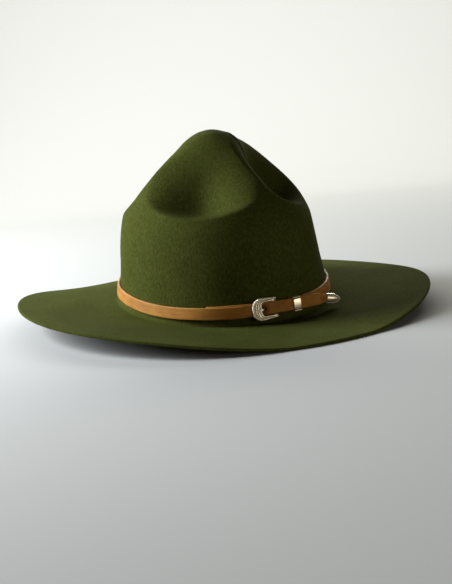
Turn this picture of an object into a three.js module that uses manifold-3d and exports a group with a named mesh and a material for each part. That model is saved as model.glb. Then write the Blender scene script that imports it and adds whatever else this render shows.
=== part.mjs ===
// Campaign hat: a green felt body with a tall crown pinched by four dents, a wide brim,
// and a leather band closed by a western buckle, a keeper and a metal tip.
// Millimetres, +Z up. The wearer looks towards -Y and the wearer's left is +X.
// Z = 0 is the surface that the front and the back of the brim rest on.

import * as THREE from "three";
import { mergeVertices } from "three/addons/utils/BufferGeometryUtils.js";
import Module from "manifold-3d";

const wasm = await Module();
wasm.setup();

const degrees = THREE.MathUtils.degToRad;

// Driving dimensions of the felt body
const FELT_THICKNESS = 2.4;
const CROWN_LENGTH = 207.8; // outside, front to back, where the crown meets the brim
const CROWN_WIDTH = 175.8; // outside, side to side, at the same place
const CROWN_HEIGHT = 144.9; // brim to peak, along the crown's own axis
const CROWN_TILT = 4.6; // degrees that the crown leans forward over its brim
const CROWN_LEAN = 1.4; // degrees that it leans to the wearer's right
const CROWN_SHIFT = 1.5; // the crown sits this far off the middle of the rim, to the wearer's left
const CROWN_SEAT = 12.2; // height of the crown's foot, at its centre, over the surface
const FOOT_RADIUS = 3.5; // the bend between crown and brim
const BRIM_WIDTH = 86;
const BRIM_SWEEP = 10; // mean height of the rim over its lowest places
const REST_PRESS = 1.2; // how far the felt gives where the rim rests

// Driving dimensions of the band and its metal
const STRAP_WIDTH = 9.8;
const STRAP_THICKNESS = 2.2;
const STRAP_END_REACH = 37; // free end, from the middle of the keeper to the end of the leather
const STRAP_END_TURN = -1; // degrees that the free end turns down from the course of the band
const STRAP_END_STRAIGHT = 31; // distance along the free end at which the leather enters its tip
const STRAP_END_DROOP = 1.2; // how far the free end has sunk there
const STRAP_DROOP_POWER = 5; // higher keeps the droop closer to the tip
const STRAP_TAPER_FROM = 22; // distance along the free end at which the leather starts to narrow
const STRAP_END_WIDTH = 6.6;
const CLEARANCE = 0.3; // between neighbouring pieces
const BUCKLE_LENGTH = 20.2;
const BUCKLE_HEIGHT = 18.2;
const BUCKLE_FRONT = 7.4; // width of the closed end of the frame
const BUCKLE_PLATE = 2.4; // thickness of the frame
const BUCKLE_BEVEL = 0.7;
const BUCKLE_CORNER = 7.5; // radius of the two outer corners of the closed end
const BUCKLE_MOUTH = 3; // radius of the two inner corners
const BUCKLE_TAPER = 1; // how much each arm narrows to its end
const POST_HEIGHT = 1.8; // the two posts that carry the bar
const BAR_THICKNESS = 1.5;
const BAR_WIDTH = 2.4;
const PRONG_THICKNESS = 1.3;
const PRONG_WIDTH = 2;
const PRONG_REACH = 2.7; // how far the point lies over the closed end
const KEEPER_LENGTH = 7.2;
const KEEPER_WALL = 0.6;
const KEEPER_RIM = 1.1; // width of each raised border of the keeper
const KEEPER_PLAY = 0.6; // room over and under the leather, both together
const KEEPER_SIDE_PLAY = 0.4; // room beside each edge of the leather
const TIP_LENGTH = 15;
const TIP_WALL = 0.6;
const TIP_SEAT = 6; // how far the leather goes into the tip
const TIP_SHOULDER = 6.5; // length of its straight sides
const TIP_BEVEL = 0.5;
const TIP_FULLNESS = { along: 0.86, across: 0.78 }; // shares of its length and half width

// Mesh fineness
const AROUND = 64;
const CROWN_ROWS = 26;
const BRIM_ROWS = 8;
const FOOT_ROWS = 3;
const RIM_ROWS = 3;
const RIM_CROWDING = 1.6; // power that draws the brim's rows together towards the rim
const PROFILE_SAMPLES = 400;
const COURSE_STEP = 4; // degrees between the sections of the band
const END_STEPS = 10; // sections of the free end

// The crown's outline with no dents: girth as a share of its foot, height as a share of CROWN_HEIGHT.
const CROWN_PROFILE = [
  { girth: 0, height: 1 },
  { girth: 0.05, height: 0.998 },
  { girth: 0.14, height: 0.982 },
  { girth: 0.31, height: 0.947 },
  { girth: 0.464, height: 0.88 },
  { girth: 0.64, height: 0.752 },
  { girth: 0.767, height: 0.646 },
  { girth: 0.873, height: 0.539 },
  { girth: 0.913, height: 0.463 },
  { girth: 0.943, height: 0.34 },
  { girth: 0.961, height: 0.178 },
  { girth: 1, height: 0 },
];

// The dents. azimuth: degrees from the front towards the wearer's left. place, up, down: distance
// of the deepest point from the peak and the reach above and below it, as shares of the way from
// peak to foot. left, right: half widths on the two sides, and depth, as shares of the mean
// radius of the crown. drift: sideways shift of the dent per millimetre downwards.
const DENTS = [
  { azimuth: -51, place: 0.461, up: 0.401, down: 0.09, left: 0.489, right: 0.543, depth: 0.242, drift: -0.04 },
  { azimuth: 41, place: 0.422, up: 0.337, down: 0.13, left: 0.405, right: 0.433, depth: 0.327, drift: -0.1 },
  { azimuth: 56, place: 0.683, up: 0.277, down: 0.228, left: 0.751, right: 0.705, depth: 0.036, drift: 0 },
  { azimuth: 145, place: 0.46, up: 0.4, down: 0.12, left: 0.36, right: 0.442, depth: 0.144, drift: -0.03 },
  { azimuth: -138, place: 0.483, up: 0.423, down: 0.136, left: 0.422, right: 0.399, depth: 0.217, drift: -0.04 },
];
const DENT_SOFTNESS = 1.6; // power of a dent's slope: higher is softer at its edge

// The rise and fall of the rim: waves per turn, and the size of each as a share of BRIM_SWEEP.
const RIM_WAVES = [
  { perTurn: 1, cosine: 0, sine: -0.32 },
  { perTurn: 2, cosine: -0.76, sine: 0.32 },
  { perTurn: 3, cosine: 0, sine: 0.1 },
  { perTurn: 4, cosine: -0.24, sine: 0 },
];

// The band's way from its tucked end, once round and over itself. azimuth: degrees, as for the
// dents. layer: stand-off in leather layers. lift: rise over its course, as a share of its width.
const BAND_COURSE = [
  { azimuth: -43, layer: 0, lift: 0.21 },
  { azimuth: -25, layer: 0, lift: 0.31 },
  { azimuth: -10, layer: 0, lift: 0.31 },
  { azimuth: 0, layer: 0.5, lift: 0.25 },
  { azimuth: 8, layer: 0.5, lift: 0.25 },
  { azimuth: 20, layer: 0, lift: 0.22 },
  { azimuth: 60, layer: 0, lift: 0.18 },
  { azimuth: 120, layer: 0, lift: 0.1 },
  { azimuth: 245, layer: 0, lift: 0.18 },
  { azimuth: 295, layer: 0, lift: 0.02 },
  { azimuth: 316, layer: 1, lift: 0.13 },
  { azimuth: 328, layer: 1, lift: 0.18 },
  { azimuth: 343, layer: 1, lift: 0.3 },
  { azimuth: 348, layer: 1.75, lift: 0.33 },
  { azimuth: 353, layer: 1.85, lift: 0.345 },
  { azimuth: 359, layer: 1.5, lift: 0.3 },
  { azimuth: 363.3, layer: 1.5, lift: 0.25 },
];
const BUCKLE_AZIMUTH = 345.6;
const KEEPER_AZIMUTH = 3.3;

const felt = new THREE.MeshStandardMaterial({ color: 0x525e24, roughness: 0.95, metalness: 0 });
const leather = new THREE.MeshStandardMaterial({ color: 0xa86f37, roughness: 0.6, metalness: 0 });
const silver = new THREE.MeshStandardMaterial({ color: 0xc4b9a6, roughness: 0.3, metalness: 1 });

const meanRadius = (CROWN_LENGTH + CROWN_WIDTH) / 4;

// The wall point of the crown's oval at a share of its girth, and the outward direction there.
function oval(azimuth, girth, height) {
  const turn = degrees(azimuth);
  return new THREE.Vector3(
    (CROWN_WIDTH / 2) * girth * Math.sin(turn),
    (-CROWN_LENGTH / 2) * girth * Math.cos(turn),
    height,
  );
}

function ovalNormal(azimuth) {
  const turn = degrees(azimuth);
  return new THREE.Vector3(Math.sin(turn) / CROWN_WIDTH, -Math.cos(turn) / CROWN_LENGTH, 0).normalize();
}

// The crown's own axis, foot at the origin, set leaning over the surface that the hat rests on.
const crownFrame = new THREE.Matrix4()
  .makeTranslation(CROWN_SHIFT, 0, CROWN_SEAT)
  .multiply(new THREE.Matrix4().makeRotationX(degrees(CROWN_TILT)))
  .multiply(new THREE.Matrix4().makeRotationY(degrees(-CROWN_LEAN)));

// The crown's outline as a smooth curve in millimetres: x is the mean radius, y the height.
const crownCurve = new THREE.SplineCurve(
  CROWN_PROFILE.map(({ girth, height }) => new THREE.Vector2(girth * meanRadius, height * CROWN_HEIGHT)),
);
const crownReach = crownCurve.getLength();

// The girth of the crown at a height near its foot, as a share of the foot's.
const crownSamples = crownCurve.getSpacedPoints(PROFILE_SAMPLES);
function girthAt(height) {
  const below = crownSamples.findIndex((point) => point.y <= height);
  const [high, low] = [crownSamples[below - 1], crownSamples[below]];
  const share = (high.y - height) / (high.y - low.y);
  return THREE.MathUtils.lerp(high.x, low.x, share) / meanRadius;
}

// How deep the dents press the crown in, at an azimuth and a distance from the peak.
function dentDepth(azimuth, radius, travel) {
  let depth = 0;
  for (const dent of DENTS) {
    const turn = degrees(azimuth - dent.azimuth);
    if (Math.cos(turn) <= 0) continue;
    const along = travel - dent.place * crownReach;
    const aside = radius * Math.sin(turn) - dent.drift * along;
    const reach = (along < 0 ? dent.up : dent.down) * crownReach;
    const half = (aside < 0 ? dent.left : dent.right) * meanRadius;
    const away = (aside / half) ** 2 + (along / reach) ** 2;
    depth += dent.depth * meanRadius * Math.max(0, 1 - away) ** DENT_SOFTNESS;
  }
  return depth;
}

// A point of the crown's outer face; share runs from 0 at the peak to 1 at the foot bend.
const wallReach = 1 - FOOT_RADIUS / crownReach;
function crownPoint(azimuth, share) {
  const at = share * wallReach;
  const place = crownCurve.getPointAt(at);
  const slope = crownCurve.getTangentAt(at);
  const point = oval(azimuth, place.x / meanRadius, place.y);
  const depth = dentDepth(azimuth, place.x, at * crownReach);
  point.addScaledVector(ovalNormal(azimuth), depth * slope.y);
  point.z -= depth * slope.x;
  return point.applyMatrix4(crownFrame);
}

// The height of the rim's underside over the surface, pressed flat where the hat rests on it.
function rimHeight(azimuth) {
  let height = 1;
  for (const { perTurn, cosine, sine } of RIM_WAVES) {
    const turn = degrees(azimuth * perTurn);
    height += cosine * Math.cos(turn) + sine * Math.sin(turn);
  }
  return height * BRIM_SWEEP - REST_PRESS;
}

// A point of the brim's upper face; share runs from 0 at the foot bend to 1 at the rim.
function brimPoint(azimuth, share) {
  const start = oval(azimuth, 1, 0).addScaledVector(ovalNormal(azimuth), FOOT_RADIUS);
  start.applyMatrix4(crownFrame);
  const turn = degrees(azimuth);
  const rim = new THREE.Vector3(
    (CROWN_WIDTH / 2 + BRIM_WIDTH) * Math.sin(turn),
    (-CROWN_LENGTH / 2 - BRIM_WIDTH) * Math.cos(turn),
    rimHeight(azimuth) + FELT_THICKNESS,
  );
  const point = start.clone().lerp(rim, share);
  const fall = share * share * (2 - share);
  point.z = THREE.MathUtils.lerp(start.z, rim.z, fall);
  return point;
}

// The bend between crown and brim; share runs from 0 at the wall to 1 at the brim.
function footPoint(azimuth, share) {
  const bend = degrees(90 * share);
  const out = FOOT_RADIUS * (1 - Math.cos(bend));
  const height = FOOT_RADIUS * (1 - Math.sin(bend));
  return oval(azimuth, girthAt(height), height)
    .addScaledVector(ovalNormal(azimuth), out)
    .applyMatrix4(crownFrame);
}

function ring(count, place) {
  return Array.from({ length: count }, (_, index) => place(index));
}

// A closed surface through rings of points, with each end closed by a fan round its middle.
function loft(rings) {
  const size = rings[0].length;
  const points = rings.flat();
  const faces = [];
  for (let row = 0; row + 1 < rings.length; row += 1) {
    for (let side = 0; side < size; side += 1) {
      const next = (side + 1) % size;
      const [a, b] = [row * size + side, row * size + next];
      const [c, d] = [a + size, b + size];
      faces.push(a, c, b, b, c, d);
    }
  }
  for (const [start, turned] of [[0, false], [(rings.length - 1) * size, true]]) {
    const middle = points.length;
    const sum = new THREE.Vector3();
    points.slice(start, start + size).forEach((point) => sum.add(point));
    points.push(sum.divideScalar(size));
    for (let side = 0; side < size; side += 1) {
      const [a, b] = [start + side, start + ((side + 1) % size)];
      faces.push(...(turned ? [middle, b, a] : [middle, a, b]));
    }
  }
  const geometry = new THREE.BufferGeometry().setFromPoints(points);
  geometry.setIndex(faces);
  return geometry;
}

// Outward directions of a grid of points, from the neighbours of each.
function gridNormals(rows) {
  return rows.map((points, row) =>
    points.map((_, side) => {
      const down = rows[Math.min(row + 1, rows.length - 1)][side].clone();
      down.sub(rows[Math.max(row - 1, 0)][side]);
      const across = points[(side + 1) % points.length].clone();
      across.sub(points[(side + points.length - 1) % points.length]);
      return down.cross(across).normalize();
    }),
  );
}

// The felt body: outer face from peak to rim, the rounded rim, and the inner face back to the peak.
function feltBody() {
  const azimuths = ring(AROUND, (index) => (360 * index) / AROUND);
  const outer = [];
  for (let row = 1; row <= CROWN_ROWS; row += 1) {
    outer.push(azimuths.map((azimuth) => crownPoint(azimuth, row / CROWN_ROWS)));
  }
  for (let row = 1; row < FOOT_ROWS; row += 1) {
    outer.push(azimuths.map((azimuth) => footPoint(azimuth, row / FOOT_ROWS)));
  }
  for (let row = 0; row <= BRIM_ROWS; row += 1) {
    const share = 1 - (1 - row / BRIM_ROWS) ** RIM_CROWDING;
    outer.push(azimuths.map((azimuth) => brimPoint(azimuth, share)));
  }
  const normals = gridNormals(outer);
  const inner = outer.map((points, row) =>
    points.map((point, side) => point.clone().addScaledVector(normals[row][side], -FELT_THICKNESS)),
  );
  for (const point of inner.flat()) point.z = Math.max(point.z, 0);
  for (const point of outer.flat()) point.z = Math.max(point.z, FELT_THICKNESS);
  const rimTop = outer[outer.length - 1];
  const rimUnder = inner[inner.length - 1];
  const rim = [];
  for (let row = 1; row <= RIM_ROWS; row += 1) {
    const bend = degrees((180 * row) / (RIM_ROWS + 1));
    rim.push(
      rimTop.map((point, side) => {
        const out = ovalNormal(azimuths[side]).multiplyScalar((FELT_THICKNESS / 2) * Math.sin(bend));
        return point.clone().lerp(rimUnder[side], (1 - Math.cos(bend)) / 2).add(out);
      }),
    );
  }
  return loft([...outer, ...rim, ...inner.reverse()]);
}

// The band's course at an azimuth: eased between the rows of its table.
function bandCourse(azimuth) {
  const last = BAND_COURSE.length - 1;
  let row = BAND_COURSE.findIndex((station) => station.azimuth > azimuth) - 1;
  if (row < 0) row = azimuth < BAND_COURSE[0].azimuth ? 0 : last - 1;
  const [from, to] = [BAND_COURSE[row], BAND_COURSE[row + 1]];
  const share = THREE.MathUtils.clamp((azimuth - from.azimuth) / (to.azimuth - from.azimuth), 0, 1);
  const ease = (1 - Math.cos(Math.PI * share)) / 2;
  return {
    layer: THREE.MathUtils.lerp(from.layer, to.layer, ease),
    lift: THREE.MathUtils.lerp(from.lift, to.lift, ease),
  };
}

// The band leans with the crown's wall behind it.
const layerPitch = STRAP_THICKNESS + CLEARANCE;
const strapFoot = FOOT_RADIUS + CLEARANCE;
const wallInset = (girthAt(strapFoot) - girthAt(strapFoot + STRAP_WIDTH)) * meanRadius;
const wallLean = Math.atan(wallInset / STRAP_WIDTH);
const worldUp = new THREE.Vector3(0, 0, 1);
function leaning(level) {
  const outward = level.clone().setLength(Math.cos(wallLean));
  return outward.addScaledVector(worldUp, Math.sin(wallLean));
}

// The middle of the inner face of the leather at an azimuth, on a layer.
function bandOrigin(azimuth, layer, lift) {
  const height = strapFoot + (0.5 + lift) * STRAP_WIDTH;
  const origin = oval(azimuth, girthAt(height), height);
  return origin.addScaledVector(leaning(ovalNormal(azimuth)), CLEARANCE + layer * layerPitch);
}

// A frame on the band at an azimuth, on one layer or on its own: x follows the course as it
// climbs, y points up along the wall, z outwards.
function courseFrame(azimuth, layer) {
  const [before, here, after] = [-1, 0, 1].map((turn) => {
    const course = bandCourse(azimuth + turn);
    return bandOrigin(azimuth + turn, layer ?? course.layer, course.lift);
  });
  const along = after.sub(before).normalize();
  const outward = leaning(new THREE.Vector3().crossVectors(along, worldUp));
  outward.addScaledVector(along, -outward.dot(along)).normalize();
  const up = new THREE.Vector3().crossVectors(outward, along);
  return new THREE.Matrix4().makeBasis(along, up, outward).setPosition(here);
}

// The free end leaves the crown straight from the middle of the keeper, and droops at its tip.
const firstAzimuth = BAND_COURSE[0].azimuth;
const lastAzimuth = BAND_COURSE[BAND_COURSE.length - 1].azimuth;
const freeEnd = courseFrame(lastAzimuth).multiply(new THREE.Matrix4().makeRotationZ(degrees(STRAP_END_TURN)));

function endFrame(along) {
  const share = Math.min(along / STRAP_END_STRAIGHT, 1);
  const steepest = (STRAP_DROOP_POWER * STRAP_END_DROOP) / STRAP_END_STRAIGHT;
  const slope = steepest * share ** (STRAP_DROOP_POWER - 1);
  const past = Math.max(along - STRAP_END_STRAIGHT, 0);
  const drop = STRAP_END_DROOP * share ** STRAP_DROOP_POWER + slope * past;
  return freeEnd
    .clone()
    .multiply(new THREE.Matrix4().makeTranslation(along, -drop, 0))
    .multiply(new THREE.Matrix4().makeRotationZ(-Math.atan(slope)));
}

// The width of the leather along its free end.
function endWidth(along) {
  const taper = (along - STRAP_TAPER_FROM) / (STRAP_END_STRAIGHT - STRAP_TAPER_FROM);
  const ease = (1 - Math.cos(Math.PI * THREE.MathUtils.clamp(taper, 0, 1))) / 2;
  return THREE.MathUtils.lerp(STRAP_WIDTH, STRAP_END_WIDTH, ease);
}

// The leather's section in a frame of the band: x along, y up, z outwards.
function strapSection(frame, width) {
  return [
    new THREE.Vector3(0, -width / 2, 0),
    new THREE.Vector3(0, -width / 2, STRAP_THICKNESS),
    new THREE.Vector3(0, width / 2, STRAP_THICKNESS),
    new THREE.Vector3(0, width / 2, 0),
  ].map((corner) => corner.applyMatrix4(frame));
}

function strapLoft() {
  const turn = lastAzimuth - firstAzimuth;
  const steps = Math.round(turn / COURSE_STEP);
  const round = ring(steps + 1, (index) =>
    strapSection(courseFrame(firstAzimuth + (turn * index) / steps), STRAP_WIDTH),
  );
  const end = ring(END_STEPS, (index) => {
    const along = (STRAP_END_REACH * (index + 1)) / END_STEPS;
    return strapSection(endFrame(along), endWidth(along));
  });
  return loft([...round, ...end]);
}

// Turns a closed geometry into a solid that can be joined and cut, and back.
function solid(geometry) {
  const bare = geometry.index ? geometry.toNonIndexed() : geometry.clone();
  const position = new THREE.BufferGeometry().setAttribute("position", bare.getAttribute("position"));
  const merged = mergeVertices(position, 1e-3);
  const mesh = new wasm.Mesh({
    numProp: 3,
    vertProperties: merged.attributes.position.array,
    triVerts: new Uint32Array(merged.index.array),
  });
  return new wasm.Manifold(mesh);
}

function geometryOf(shape) {
  const { numProp, vertProperties, triVerts } = shape.getMesh();
  const geometry = new THREE.BufferGeometry();
  const points = new THREE.InterleavedBuffer(vertProperties, numProp);
  geometry.setAttribute("position", new THREE.InterleavedBufferAttribute(points, 3, 0));
  geometry.setIndex(new THREE.BufferAttribute(triVerts, 1));
  return geometry.toNonIndexed();
}

function box(size, centre) {
  return new THREE.BoxGeometry(size.x, size.y, size.z).translate(centre.x, centre.y, centre.z);
}

// The buckle's frame of reference: x along the band, y up, z outwards, on the felt side of the
// band, flat across the curve of the crown.
const buckleFrame = courseFrame(BUCKLE_AZIMUTH, 0);
const plateBack = layerPitch + STRAP_THICKNESS + 2 * CLEARANCE;
const barPlace = BUCKLE_LENGTH / 2 - BAR_WIDTH / 2;
const openingHalf = STRAP_WIDTH / 2 + 3 * CLEARANCE;
const postPlace = openingHalf + POST_HEIGHT / 2;

// How far the curve of the crown falls behind a flat piece, at a distance along it.
function sagAt(azimuth, along) {
  const turn = degrees(azimuth);
  const spread = Math.hypot((CROWN_LENGTH / 2) * Math.sin(turn), (CROWN_WIDTH / 2) * Math.cos(turn));
  const bendRadius = spread ** 3 / ((CROWN_LENGTH / 2) * (CROWN_WIDTH / 2));
  return along ** 2 / (2 * bendRadius);
}
const barCentre = layerPitch + BAR_THICKNESS / 2 - sagAt(BUCKLE_AZIMUTH, barPlace);

// The frame: a horseshoe plate with its two arms joined at the open end by a bar behind the strap.
function buckleGeometry() {
  const [left, right] = [-BUCKLE_LENGTH / 2, BUCKLE_LENGTH / 2];
  const half = BUCKLE_HEIGHT / 2;
  const inside = left + BUCKLE_FRONT;
  const outline = new THREE.Shape();
  const [corner, bend] = [BUCKLE_CORNER, BUCKLE_MOUTH];
  outline.moveTo(right, half - BUCKLE_TAPER);
  outline.lineTo(left + corner, half);
  outline.absarc(left + corner, half - corner, corner, Math.PI / 2, Math.PI, false);
  outline.lineTo(left, corner - half);
  outline.absarc(left + corner, corner - half, corner, Math.PI, 1.5 * Math.PI, false);
  outline.lineTo(right, BUCKLE_TAPER - half);
  outline.lineTo(right, -openingHalf);
  outline.lineTo(inside + bend, -openingHalf);
  outline.absarc(inside + bend, bend - openingHalf, bend, 1.5 * Math.PI, Math.PI, true);
  outline.absarc(inside + bend, openingHalf - bend, bend, Math.PI, Math.PI / 2, true);
  outline.lineTo(right, openingHalf);
  const plate = new THREE.ExtrudeGeometry(outline, {
    depth: BUCKLE_PLATE - 2 * BUCKLE_BEVEL,
    bevelThickness: BUCKLE_BEVEL,
    bevelSize: BUCKLE_BEVEL,
    bevelOffset: -BUCKLE_BEVEL,
    bevelSegments: 1,
    curveSegments: 7,
  }).translate(0, 0, plateBack + BUCKLE_BEVEL);
  const postFrom = barCentre - BAR_THICKNESS / 2;
  const postDepth = plateBack + BUCKLE_PLATE / 2 - postFrom;
  let shape = solid(plate);
  for (const side of [-1, 1]) {
    const size = new THREE.Vector3(BAR_WIDTH, POST_HEIGHT, postDepth);
    const centre = new THREE.Vector3(barPlace, side * postPlace, postFrom + postDepth / 2);
    shape = shape.add(solid(box(size, centre)));
  }
  const barSize = new THREE.Vector3(BAR_WIDTH, 2 * postPlace, BAR_THICKNESS);
  shape = shape.add(solid(box(barSize, new THREE.Vector3(barPlace, 0, barCentre))));
  return geometryOf(shape).applyMatrix4(buckleFrame);
}

// The prong lies behind the strap, comes up through its hole and rests on the closed end.
function prongRoute(spread) {
  const inside = -BUCKLE_LENGTH / 2 + BUCKLE_FRONT;
  const lowAt = (along) => layerPitch + PRONG_THICKNESS / 2 - sagAt(BUCKLE_AZIMUTH, along);
  const high = plateBack + BUCKLE_PLATE + CLEARANCE + PRONG_THICKNESS / 2;
  const start = barPlace - BAR_WIDTH / 2 - CLEARANCE;
  const end = inside - PRONG_REACH;
  const route = [
    { along: end - spread, out: high },
    { along: inside + PRONG_THICKNESS / 2, out: high },
    { along: inside + PRONG_THICKNESS / 2 + PRONG_WIDTH, out: lowAt(0) + PRONG_THICKNESS },
    { along: (start + inside) / 2, out: lowAt(0) },
    { along: start + spread, out: lowAt(start) },
  ];
  return route.map(({ along, out }) => new THREE.Vector3(along, 0, out));
}

function prongGeometry(spread) {
  const route = prongRoute(spread);
  const halfWidth = PRONG_WIDTH / 2 + spread;
  const halfDepth = PRONG_THICKNESS / 2 + spread;
  const rings = route.map((point, index) => {
    const before = route[Math.max(index - 1, 0)];
    const after = route[Math.min(index + 1, route.length - 1)];
    const along = after.clone().sub(before).normalize();
    const side = new THREE.Vector3(0, 1, 0);
    const out = new THREE.Vector3().crossVectors(along, side);
    return [
      [-1, -1],
      [-1, 1],
      [1, 1],
      [1, -1],
    ].map(([across, outwards]) =>
      point
        .clone()
        .addScaledVector(side, across * halfWidth)
        .addScaledVector(out, outwards * halfDepth),
    );
  });
  return loft(rings).applyMatrix4(buckleFrame);
}

// The keeper: a flat loop round both layers of the band, with a raised border along its top and
// another along its bottom.
const keeperFrame = courseFrame(lastAzimuth, 0);

function keeperGeometry() {
  const inner = {
    low: bandCourse(KEEPER_AZIMUTH).layer * layerPitch - KEEPER_PLAY / 2,
    high: bandCourse(lastAzimuth).layer * layerPitch + STRAP_THICKNESS + KEEPER_PLAY / 2,
    half: STRAP_WIDTH / 2 + KEEPER_SIDE_PLAY,
  };
  const block = (length, grow, place) => {
    const size = new THREE.Vector3(length, 2 * (inner.half + grow), inner.high - inner.low + 2 * grow);
    return solid(box(size, new THREE.Vector3(place, 0, (inner.high + inner.low) / 2)));
  };
  let shape = block(KEEPER_LENGTH, KEEPER_WALL, 0);
  for (const side of [-1, 1]) {
    const place = side * (inner.half + KEEPER_WALL - KEEPER_RIM / 2);
    const size = new THREE.Vector3(KEEPER_LENGTH, KEEPER_RIM, 2 * KEEPER_WALL);
    const border = box(size, new THREE.Vector3(0, place, inner.high + KEEPER_WALL));
    shape = shape.add(solid(border));
  }
  shape = shape.subtract(block(2 * KEEPER_LENGTH, 0, 0));
  return geometryOf(shape).applyMatrix4(keeperFrame);
}

// The tip: a bullet-shaped shell over the end of the leather.
const tipFrame = endFrame(STRAP_END_REACH - TIP_SEAT).multiply(
  new THREE.Matrix4().makeTranslation(0, 0, STRAP_THICKNESS / 2),
);

function tipGeometry() {
  const half = STRAP_END_WIDTH / 2 + CLEARANCE + TIP_WALL;
  const depth = STRAP_THICKNESS + 2 * (CLEARANCE + TIP_WALL);
  const pull = { along: TIP_LENGTH * TIP_FULLNESS.along, across: half * TIP_FULLNESS.across };
  const outline = new THREE.Shape();
  outline.moveTo(0, -half);
  outline.lineTo(TIP_SHOULDER, -half);
  outline.quadraticCurveTo(pull.along, -pull.across, TIP_LENGTH, 0);
  outline.quadraticCurveTo(pull.along, pull.across, TIP_SHOULDER, half);
  outline.lineTo(0, half);
  const shell = new THREE.ExtrudeGeometry(outline, {
    depth: depth - 2 * TIP_BEVEL,
    bevelThickness: TIP_BEVEL,
    bevelSize: TIP_BEVEL,
    bevelOffset: -TIP_BEVEL,
    bevelSegments: 1,
    curveSegments: 5,
  }).translate(0, 0, TIP_BEVEL - depth / 2);
  const pocketSize = new THREE.Vector3(
    2 * (TIP_SEAT + CLEARANCE),
    STRAP_END_WIDTH + 2 * CLEARANCE,
    STRAP_THICKNESS + 2 * CLEARANCE,
  );
  const pocket = box(pocketSize, new THREE.Vector3());
  return geometryOf(solid(shell).subtract(solid(pocket))).applyMatrix4(tipFrame);
}

function piece(name, geometry, material) {
  geometry.computeVertexNormals();
  const mesh = new THREE.Mesh(geometry, material);
  mesh.name = name;
  return mesh;
}

// The band and its metal are made in the crown's own frame, and lean with it.
const strap = solid(strapLoft()).subtract(solid(prongGeometry(CLEARANCE)));
const band = new THREE.Group();
band.add(
  piece("hatband_strap", geometryOf(strap), leather),
  piece("buckle_frame", buckleGeometry(), silver),
  piece("buckle_prong", prongGeometry(0), silver),
  piece("keeper_loop", keeperGeometry(), silver),
  piece("strap_tip", tipGeometry(), silver),
);
band.applyMatrix4(crownFrame);

const hat = new THREE.Group();
hat.add(piece("felt_body", feltBody(), felt), band);

export default hat;
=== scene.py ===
import math

import bpy
import numpy as np
from mathutils import Matrix, Vector, noise


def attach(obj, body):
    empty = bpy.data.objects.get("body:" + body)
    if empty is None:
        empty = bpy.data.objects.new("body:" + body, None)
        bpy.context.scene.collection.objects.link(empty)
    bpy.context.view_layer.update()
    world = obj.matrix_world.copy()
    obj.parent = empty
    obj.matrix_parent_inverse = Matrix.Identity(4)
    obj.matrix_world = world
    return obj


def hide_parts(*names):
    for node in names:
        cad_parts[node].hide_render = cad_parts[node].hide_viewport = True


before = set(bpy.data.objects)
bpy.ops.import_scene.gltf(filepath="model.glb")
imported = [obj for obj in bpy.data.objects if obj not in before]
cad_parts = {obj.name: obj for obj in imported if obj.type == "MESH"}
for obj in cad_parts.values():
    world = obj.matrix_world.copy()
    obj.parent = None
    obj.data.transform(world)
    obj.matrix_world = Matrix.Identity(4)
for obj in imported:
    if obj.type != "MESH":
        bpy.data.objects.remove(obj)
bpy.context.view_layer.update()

mm = 0.001  # sizes below are in millimetres, and each mesh is made in metres


def unit(rows):
    rows = np.asarray(rows, float)
    return rows / np.maximum(np.linalg.norm(rows, axis=-1, keepdims=True), 1e-12)


def place(matrix, points):
    return np.asarray(points, float) @ matrix[:3, :3].T + matrix[:3, 3]


def shift(x, y, z):
    made = np.eye(4)
    made[:3, 3] = (x, y, z)
    return made


def turned(axis, degrees):
    return np.array(Matrix.Rotation(math.radians(degrees), 4, axis))


def basis(along, up, outward, origin):
    made = np.eye(4)
    made[:3, 0], made[:3, 1], made[:3, 2], made[:3, 3] = along, up, outward, origin
    return made


def addObject(name, data):
    made = bpy.data.objects.new(name, data)
    bpy.context.scene.collection.objects.link(made)
    return made


def meshPiece(name, points, faces, material):
    mesh = bpy.data.meshes.new(name)
    mesh.from_pydata((np.asarray(points) * mm).tolist(), [], faces)
    mesh.update()
    mesh.shade_smooth()
    mesh.materials.append(material)
    return addObject(name, mesh)


def gridFaces(rows, columns):  # each row of points closes into a ring
    faces = []
    for row in range(rows - 1):
        for side in range(columns):
            after = (side + 1) % columns
            faces.append((row * columns + side, (row + 1) * columns + side,
                          (row + 1) * columns + after, row * columns + after))
    return faces


def capped(grid):  # a tube of rings, closed by a fan at each end
    rows, columns = grid.shape[:2]
    faces = gridFaces(rows, columns)
    first, last, base = rows * columns, rows * columns + 1, (rows - 1) * columns
    for side in range(columns):
        after = (side + 1) % columns
        faces.append((first, side, after))
        faces.append((last, base + after, base + side))
    return np.vstack([grid.reshape(-1, 3), grid[:1].mean(1), grid[-1:].mean(1)]), faces


def travelOf(points):  # length along a line at each of its points
    return np.concatenate([[0], np.cumsum(np.linalg.norm(np.diff(points, axis=0), axis=1))])


def notch(away, width):  # 1 on a line, and less and less beside it
    return np.exp(-((away / width) ** 2))


def signedPower(values, power):
    return np.sign(values) * np.abs(values) ** power


def paint(piece, name, values):  # a number for each point, read by a material
    attribute = piece.data.attributes.new(name, "FLOAT", "POINT")
    filled = np.zeros(len(piece.data.vertices), np.float32)
    filled[:len(values)] = values
    attribute.data.foreach_set("value", filled)


# Materials: each is one tree of nodes on a Principled shader
def newMaterial(name, settings):
    material = bpy.data.materials.new(name)
    material.use_nodes = True
    tree = material.node_tree
    shader = tree.nodes["Principled BSDF"]
    for socket, value in settings.items():
        shader.inputs[socket].default_value = value
    return material, tree, shader


def addNode(tree, kind, inputs=None, **settings):
    node = tree.nodes.new(kind)
    for key, value in settings.items():
        setattr(node, key, value)
    for socket, value in (inputs or {}).items():
        if isinstance(value, bpy.types.NodeSocket):
            tree.links.new(value, node.inputs[socket])
        else:
            node.inputs[socket].default_value = value
    return node


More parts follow.
